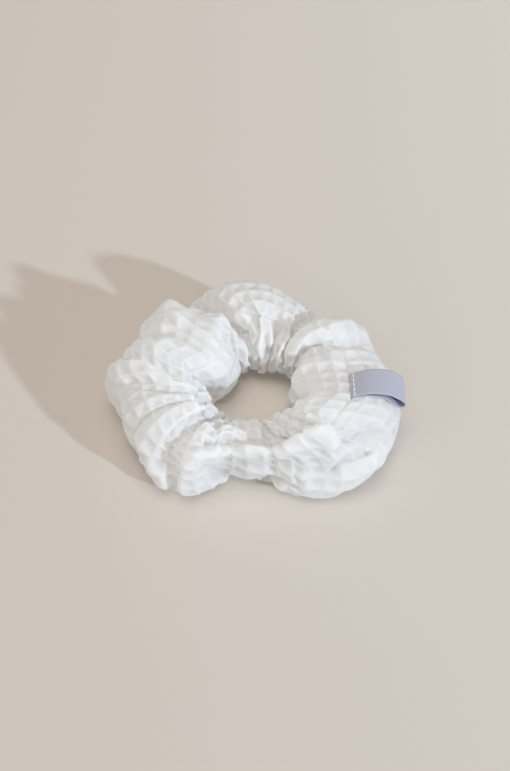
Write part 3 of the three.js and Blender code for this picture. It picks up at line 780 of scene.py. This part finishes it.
def pressed(X):
    share = np.zeros(X.shape[:2])
    for reach, point in IRONED:
        share = np.maximum(share, np.exp(-((np.linalg.norm(X - point, axis=-1) / reach) ** 4)))
    for _ in range(20):
        around = np.roll(X, 1, 0) + np.roll(X, -1, 0) + np.roll(X, 1, 1) + np.roll(X, -1, 1)
        X = X + 0.6 * share[..., None] * (around / 4 - X)
    N = smooth_normals(X)
    return X + N * wrinkled(X, N, PRESSED)[0][..., None]


def refolded(X, hs, ht, steps=44, gap=1.9, stiff=0.05, hold=(0.02, 0.35)):
    """The relaxed cloth on a grid twice as fine, with its smaller folds pressed in and relaxed again."""
    ns, nt = X.shape[0] * 2, X.shape[1] * 2
    base = resample(resample(X, ns, 0), nt, 1)
    N = smooth_normals(base)
    lift, grip = wrinkled(base, N, WRINKLES)
    hs, ht = np.repeat(hs, 2) / 2, np.repeat(ht, 2) / 2
    slant = np.hypot(hs, ht)
    lows = np.clip(0.66 * closes(ns), 0.4, 0.75)
    cloth = Cloth(base.copy())
    firm = (hold[0] + hold[1] * grip)[..., None]
    for n in range(steps):
        aim = base + N * (lift * min(1.0, (n + 1) / (steps * 0.7)))[..., None]
        if n % 4 == 0:
            p, q = cloth.near(gap * 1.6, 3)
        cloth.X += firm * (aim - cloth.X)
        for it in range(4):
            cloth.pull(1, 0, hs, 0.9, lows, 0.25)
            cloth.pull(0, 1, ht, 0.9, 0.72, 0.3)
            cloth.pull(1, 1, slant, 0.2, 0.7, 0.1)
            cloth.pull(1, -1, slant, 0.2, 0.7, 0.1)
            cloth.straighten(stiff)
            if it % 2:
                cloth.part(p, q, gap)
        cloth.off_elastic(ELASTIC[0], ELASTIC[1], ELASTIC[2] - 0.2)
        np.maximum(cloth.X[..., 2], 0.9, out=cloth.X[..., 2])
    return cloth.X


def spot(X, u, v):
    """Points on the smooth cloth at fractions u along and v round it, their outward normals, and s and t directions."""

    def read(u, v):
        ns, nt = X.shape[:2]
        x, y = np.asarray(u) % 1.0 * ns, np.asarray(v) % 1.0 * nt
        i, j = np.floor(x).astype(int), np.floor(y).astype(int)
        a, b = x - i, y - j
        wa = ((1 - a) ** 3 / 6, (3 * a**3 - 6 * a * a + 4) / 6, (-3 * a**3 + 3 * a * a + 3 * a + 1) / 6, a**3 / 6)
        wb = ((1 - b) ** 3 / 6, (3 * b**3 - 6 * b * b + 4) / 6, (-3 * b**3 + 3 * b * b + 3 * b + 1) / 6, b**3 / 6)
        return sum((wa[m] * wb[n])[..., None] * X[(i - 1 + m) % ns, (j - 1 + n) % nt] for m in range(4) for n in range(4))

    e, f = 0.4 / LENGTH, 0.4 / GIRTH
    P = read(u, v)
    S = read(np.asarray(u) + e, v) - read(np.asarray(u) - e, v)
    T = read(u, np.asarray(v) + f) - read(u, np.asarray(v) - f)
    N = np.cross(S, T)
    return (P, *(d / np.maximum(np.linalg.norm(d, axis=-1, keepdims=True), 1e-9) for d in (N, S, T)))


# Where a cell is sampled, close together at its ridges.
STOPS = np.array([0.0, 0.06, 0.15, 0.30, 0.5, 0.70, 0.85, 0.94])
WAFFLE = 1.2  # from a ridge down to the middle of its cell
SEAM_ALLOWANCE = 5.0


def bowl(x):
    """The height over a cell: 1 on its ridges, 0 in its middle, rounded at both."""
    c = 0.5 + 0.5 * np.cos(2 * np.pi * x)
    return 0.45 * c**1.3 + 0.55 * c**4


def outward(R, rounds=3):
    """The normals of the fine cloth, whose first and last rows are the same line, smoothed over a few rounds."""
    D = np.gradient(R, axis=1)
    D[:, 0] = D[:, -1] = R[:, 1] - R[:, -2]
    N = np.cross(np.roll(R, -1, 0) - np.roll(R, 1, 0), D)
    N /= np.maximum(np.linalg.norm(N, axis=-1, keepdims=True), 1e-9)
    for _ in range(rounds):
        M = 2 * N + np.roll(N, 1, 0) + np.roll(N, -1, 0)
        M[:, 1:-1] += N[:, 2:] + N[:, :-2]
        M[:, 0] += N[:, 1] + N[:, -2]
        M[:, -1] = M[:, 0]
        N = M / np.maximum(np.linalg.norm(M, axis=-1, keepdims=True), 1e-9)
    return N


def casing_surface(X):
    """The fine cloth: its vertices on a grid with the weave's relief, the uv of each, and the smooth normals."""
    us = (np.arange(CELLS_S)[:, None] + STOPS).ravel() / CELLS_S
    vs = np.append((np.arange(CELLS_T)[:, None] + STOPS).ravel() / CELLS_T, 1.0)
    R = resample(resample(X, 0, 0, us), 0, 1, vs)
    N = outward(R)
    # where the weave has closed up, its ridges stand higher
    along = np.linalg.norm(np.roll(R, -1, 0) - R, axis=-1) / (np.roll(us, -1) - us + (np.arange(len(us)) == len(us) - 1))[:, None] / LENGTH
    for _ in range(8):
        along = (2 * along + np.roll(along, 1, 0) + np.roll(along, -1, 0)) / 4
    close = np.clip(1 - along, 0, 0.5)
    bu, bv = bowl(us * CELLS_S % 1.0)[:, None], bowl(vs * CELLS_T % 1.0)[None]
    relief = 1 - (1 - bu) * (1 - bv)
    # the seams draw the cloth in
    seam_t = np.minimum(vs, 1 - vs)[None] * GIRTH
    seam_s = np.minimum(us, 1 - us)[:, None] * LENGTH
    in_t, in_s = np.exp(-((seam_t / 1.1) ** 1.5)), np.exp(-((seam_s / 1.3) ** 1.5))
    plain = (1 - in_t) * (1 - in_s)
    rng = np.random.default_rng(3)
    uneven = rng.normal(0, 1, (CELLS_S, CELLS_T))
    cu, cv = (us * CELLS_S).astype(int) % CELLS_S, (vs * CELLS_T).astype(int) % CELLS_T
    deep = WAFFLE * (1 + 0.5 * close) * (1 + 0.10 * uneven[cu][:, cv] * (1 - bu) * (1 - bv))
    lift = deep * (relief - 0.45) * plain - 0.85 * in_t - 1.0 * in_s
    R2 = R + N * lift[..., None]
    return R2, np.stack(np.broadcast_arrays(us[:, None] * CELLS_S, vs[None] * CELLS_T), -1), N


def make_casing(X, material):
    P, uv, N = casing_surface(X)
    ns, nt = P.shape[:2]
    # the seam allowances, pressed open inside: each edge turns in and lies back under the cloth
    inner, inner_uv = [], []
    for sign, edge in ((1, 0), (-1, nt - 1)):
        rows, tex = [], []
        for far, drop in ((0.5, 1.3), (2.4, 1.75), (SEAM_ALLOWANCE, 1.9)):
            v = (sign * far / GIRTH) % 1.0
            u = uv[:, 0, 0] / CELLS_S
            Q, M, _, _ = spot(X, u, np.full(ns, v))
            wavy = 0.12 * np.sin(uv[:, 0, 0] * 2 * np.pi)
            rows.append(Q - M * (drop + wavy)[:, None])
            tex.append(np.stack([uv[:, 0, 0], np.full(ns, -sign * far / PITCH + (0 if edge == 0 else CELLS_T))], -1))
        inner.append(np.stack([P[:, edge]] + rows, 1) if sign > 0 else np.stack(rows[::-1] + [P[:, edge]], 1))
        inner_uv.append(np.stack([uv[:, edge]] + tex, 1) if sign > 0 else np.stack(tex[::-1] + [uv[:, edge]], 1))
    # one strip: the first allowance's free edge, the cloth, and the second's
    strip = np.concatenate([inner[0][:, :0:-1], P, inner[1][:, -2::-1]], 1)
    tex = np.concatenate([inner_uv[0][:, :0:-1], uv, inner_uv[1][:, -2::-1]], 1)
    faces = grid_faces(ns, strip.shape[1], True, False)
    # u isn't wrapped in the last column's faces: its far side reads as the first column, which the weave repeats
    return solid("waffle_casing", strip, faces, tex, material), P


materials = {"waffle": waffle_material(), "thread": thread_material(), "elastic": elastic_material(),
             "ribbon": ribbon_material(), "floor": floor_material()}

X = pressed(refolded(*gathered()))
casing, surface = make_casing(X, materials["waffle"])
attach(casing, "casing")
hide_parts("casing")


# ---- sewing -----------------------------------------------------------------------------------------------------
def whip_stitches():
    """One thread over and over across the closing seam, all the way round the tube."""
    n = int(GIRTH / 2.4)
    v = np.arange(n * 12) / (n * 12)
    beat = np.arange(n * 12) % 12 / 12.0
    across = np.where(beat < 0.5, -1 + 4 * beat, 1 - 4 * (beat - 0.5))
    under = beat >= 0.5
    P, N, S, T = spot(X, across * 1.35 / LENGTH, v)
    lift = np.where(under, -1.7, 0.15) + np.where(under, 0.5, 0.35) * (1 - across**2) * np.where(under, -1, 1) - 0.25
    return P + N * lift[:, None]


closing = threads("closing_whip_stitches", [whip_stitches()], 0.17, materials["thread"], closed=True)
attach(closing, "casing")
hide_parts("closing_seam_thread")


def seam_stitches():
    """The tube seam's machine stitches, each a short arch at the bottom of the groove."""
    n = int(LENGTH / 2.6)
    out = []
    for k in range(n):
        u = (k + np.linspace(0.06, 0.94, 7)) / n
        P, N, S, T = spot(X, u, np.zeros(7))
        h = -1.0 + 0.35 * np.sin(np.linspace(0, np.pi, 7)) - 0.75 * (np.abs(np.linspace(-1, 1, 7)) > 0.95)
        out.append(P + N * h[:, None])
    return out


tube_seam = threads("tube_seam_stitches", seam_stitches(), 0.15, materials["thread"], sides=6)
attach(tube_seam, "casing")
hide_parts("tube_seam_thread")


# ---- the elastic ------------------------------------------------------------------------------------------------
BAND_R, BAND_W, BAND_T, BAND_Z, LAP, RIBS = 24.0, 6.0, 1.2, 11.6, 12.0, 8


def make_elastic():
    """A flat braided band, cut a lap longer than its ring, with its ends laid over each other."""
    lap = LAP / (2 * math.pi * BAND_R) * 360.0
    a = np.radians(np.linspace(-lap / 2 - 180, 180 + lap / 2, 420))
    # the band's two ends pass each other, one inside the other
    f = np.clip((np.abs(np.degrees(a)) - (180 - lap)) / (lap * 0.5), 0, 1)
    f = f * f * (3 - 2 * f)
    r = BAND_R + np.sign(a) * f * (BAND_T / 2 + 0.04)
    across = np.linspace(-0.5, 0.5, RIBS * 6 + 1)
    rib = np.abs(np.sin(np.arange(RIBS * 6 + 1) / 6 * np.pi)) ** 0.6
    thick = BAND_T / 2 - 0.18 + 0.16 * rib
    thick = thick * np.clip((0.5 - np.abs(across)) / 0.03 + 0.45, 0, 1)
    ring = np.concatenate([np.stack([thick, across * BAND_W, np.arange(len(across)) / 6.0], 1),
                           np.stack([-thick, across * BAND_W, np.arange(len(across)) / 6.0], 1)[::-1]])
    V = np.zeros((len(a), len(ring), 3))
    rad = r[:, None] + ring[None, :, 0]
    V[..., 0], V[..., 1] = rad * np.cos(a)[:, None], rad * np.sin(a)[:, None]
    V[..., 2] = BAND_Z + ring[None, :, 1]
    uv = np.stack(np.broadcast_arrays((a * BAND_R)[:, None], ring[None, :, 2]), -1)
    faces = [f for f in grid_faces(len(a), len(ring), False, True)]
    m = len(ring)
    half = m // 2
    for base, flip in ((0, False), ((len(a) - 1) * m, True)):  # cut ends
        for j in range(half - 1):
            q = [base + j, base + j + 1, base + m - 2 - j, base + m - 1 - j]
            faces.append(np.array(q if not flip else q[::-1]))
    return solid("elastic_braid", V.reshape(-1, 3), faces, uv.reshape(-1, 2), materials["elastic"])


elastic = make_elastic()
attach(elastic, "elastic")
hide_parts("elastic_band")


def join_stitches():
    """A zigzag through both ends of the band, up and down over the lap."""
    n = 6
    steps = np.linspace(0, 1, n * 16 + 1)
    a = np.pi + (steps - 0.5) * (LAP * 0.62) / BAND_R
    z = BAND_Z + 2.0 * (2 * np.abs((steps * n) % 2 - 1) - 1)
    side = np.where(np.arange(len(steps)) // 4 % 2 == 0, 1, -1)
    side = np.convolve(np.pad(side.astype(float), 2, "edge"), np.ones(5) / 5, "valid")
    r = BAND_R + side * (BAND_T + 0.14)
    return np.stack([r * np.cos(a), r * np.sin(a), z], 1)


join = threads("elastic_join_stitches", [join_stitches()], 0.17, materials["thread"])
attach(join, "elastic")
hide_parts("elastic_join_thread")


# ---- the ribbon label -------------------------------------------------------------------------------------------
RIBBON_W, RIBBON_T, LABEL_Y, LABEL_END = 12.7, 0.32, -8.5, 32.0
PIVOT = (34.6, 10.0)  # the label is laid round this line, along Y


def label_ground():
    """How far the cloth stands from the pivot line under the label's front half and its back half, by angle."""
    Q = surface.reshape(-1, 3)
    deg = np.degrees(np.arctan2(Q[:, 2] - PIVOT[1], Q[:, 0] - PIVOT[0]))
    far = np.hypot(Q[:, 2] - PIVOT[1], Q[:, 0] - PIVOT[0])
    grid = np.arange(10.0, 100.0, 1.0)
    sides = []
    for lo, hi in ((-RIBBON_W / 2, 0.5), (-0.5, RIBBON_W / 2)):
        m = (Q[:, 1] > LABEL_Y + lo) & (Q[:, 1] < LABEL_Y + hi) & (Q[:, 0] > 20) & (Q[:, 2] > 6)
        top = np.array([far[m & (np.abs(deg - g) < 1.6)].max(initial=0.0) for g in grid])
        top[top == 0] = top[top > 0].mean()
        w = np.exp(-((np.arange(-9, 10) / 4.5) ** 2))
        top = np.convolve(np.pad(top, 9, "edge"), w / w.sum(), "valid")
        sides.append(top)
    return grid, sides


def make_label():
    grid, (front, rear) = label_ground()
    across = np.linspace(-0.5, 0.5, 25) * RIBBON_W
    root = float(np.interp(90.0, grid, (front + rear) / 2)) + PIVOT[1]
    lines = []
    for w in across:
        mix = np.clip(w / RIBBON_W + 0.5, 0, 1)
        g = np.linspace(90.0, LABEL_END, 34)
        ground = np.interp(g, grid, front * (1 - mix) + rear * mix)
        f = np.linspace(0, 1, 34)
        low = ground + 0.30
        gap = 0.3 + 3.2 * f**1.1
        high = ground + 0.30 + gap
        c, s = np.cos(np.radians(g)), np.sin(np.radians(g))
        lower = np.stack([PIVOT[0] + low * c, PIVOT[1] + low * s], 1)
        upper = np.stack([PIVOT[0] + high * c, PIVOT[1] + high * s], 1)
        # the fold: half a turn about the middle of the end gap
        mid, half = (lower[-1] + upper[-1]) / 2, (upper[-1] - lower[-1]) / 2
        out = np.array([half[1], -half[0]])
        turn = np.radians(np.linspace(-75, 75, 9))[:, None]
        fold = mid + half * np.sin(turn) + out * 0.9 * np.cos(turn)
        tuck = np.array([[lower[0][0] - 0.25, lower[0][1] - 1.5], [lower[0][0] - 0.12, lower[0][1] - 0.7]])
        line = np.concatenate([tuck, lower, fold, upper[::-1], tuck[::-1] + (0.0, 0.30)])
        for _ in range(4):
            line[1:-1] = (line[:-2] + 2 * line[1:-1] + line[2:]) / 4
        lines.append(line)
    L = np.array(lines)  # across, along, (x, z)
    n = L.shape[1]
    d = np.gradient(L, axis=1)
    d /= np.linalg.norm(d, axis=-1, keepdims=True)
    normal = np.stack([-d[..., 1], d[..., 0]], -1)
    run = np.concatenate([[0], np.cumsum(np.linalg.norm(np.diff(L[12], axis=0), axis=1))])
    # the selvedges are a touch thicker
    thick = RIBBON_T / 2 * (1 + 0.25 * (np.abs(across) > 5.7))[:, None, None]
    sheets = []
    for sign in (1, -1):
        xz = L + sign * thick * normal
        sheets.append(np.stack([xz[..., 0], np.broadcast_to((LABEL_Y + across)[:, None], xz.shape[:2]), xz[..., 1]], -1))
    A, B = sheets
    m = len(across)
    verts = np.concatenate([A.reshape(-1, 3), B.reshape(-1, 3)])
    uv = np.stack(np.broadcast_arrays(run[None, :], across[:, None]), -1).reshape(-1, 2)
    faces = [f for f in grid_faces(m, n)[:, ::-1]] + [f for f in grid_faces(m, n, first=m * n)]
    edge = [(i * n, (i + 1) * n) for i in range(m - 1)]
    off = m * n
    for a, b in edge:  # the two ends
        faces.append(np.array([a, b, b + off, a + off]))
        faces.append(np.array([a + n - 1, a + n - 1 + off, b + n - 1 + off, b + n - 1]))
    for j in range(n - 1):  # the two selvedges
        faces.append(np.array([j, j + off, j + 1 + off, j + 1]))
        k = (m - 1) * n + j
        faces.append(np.array([k, k + 1, k + 1 + off, k + off]))
    upper = L[:, n // 2:]
    sewn = [float(np.interp(PIVOT[0] + 1.1, row[::-1, 0], row[::-1, 1])) for row in upper]
    return solid("ribbon_label", verts, faces, np.concatenate([uv, uv]), materials["ribbon"]), float(run[-1]), root, sewn


label, ribbon_length, root_z, sewn = make_label()
print("label: ribbon length", round(ribbon_length, 1), "root z", round(root_z, 2))


def tack_stitches():
    """Five stitches along the seam, through the ribbon's ends."""
    out = []
    for k in range(5):
        y = RIBBON_W * ((k + np.linspace(0.12, 0.88, 9)) / 5 - 0.5)
        z = np.interp(y, np.linspace(-0.5, 0.5, 25) * RIBBON_W, sewn) + RIBBON_T / 2
        arch = np.sin(np.linspace(0, np.pi, 9))
        out.append(np.stack([PIVOT[0] + 1.1 + 0 * y, LABEL_Y + y, z + 0.02 + 0.22 * arch - 0.9 * (arch < 0.05)], 1))
    return out


tack = threads("label_tack_stitches", tack_stitches(), 0.16, materials["thread"])
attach(tack, "casing")
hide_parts("label_tack_thread")

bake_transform(label)
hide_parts("label")

# ---- floor ------------------------------------------------------------------------------------------------------
floor = bpy.data.objects.new("floor", bpy.data.meshes.new("floor"))
floor.data.from_pydata([(-3, -3, 0), (3, -3, 0), (3, 3, 0), (-3, 3, 0)], [], [(0, 1, 2, 3)])
floor.data.materials.append(materials["floor"])
scene.collection.objects.link(floor)
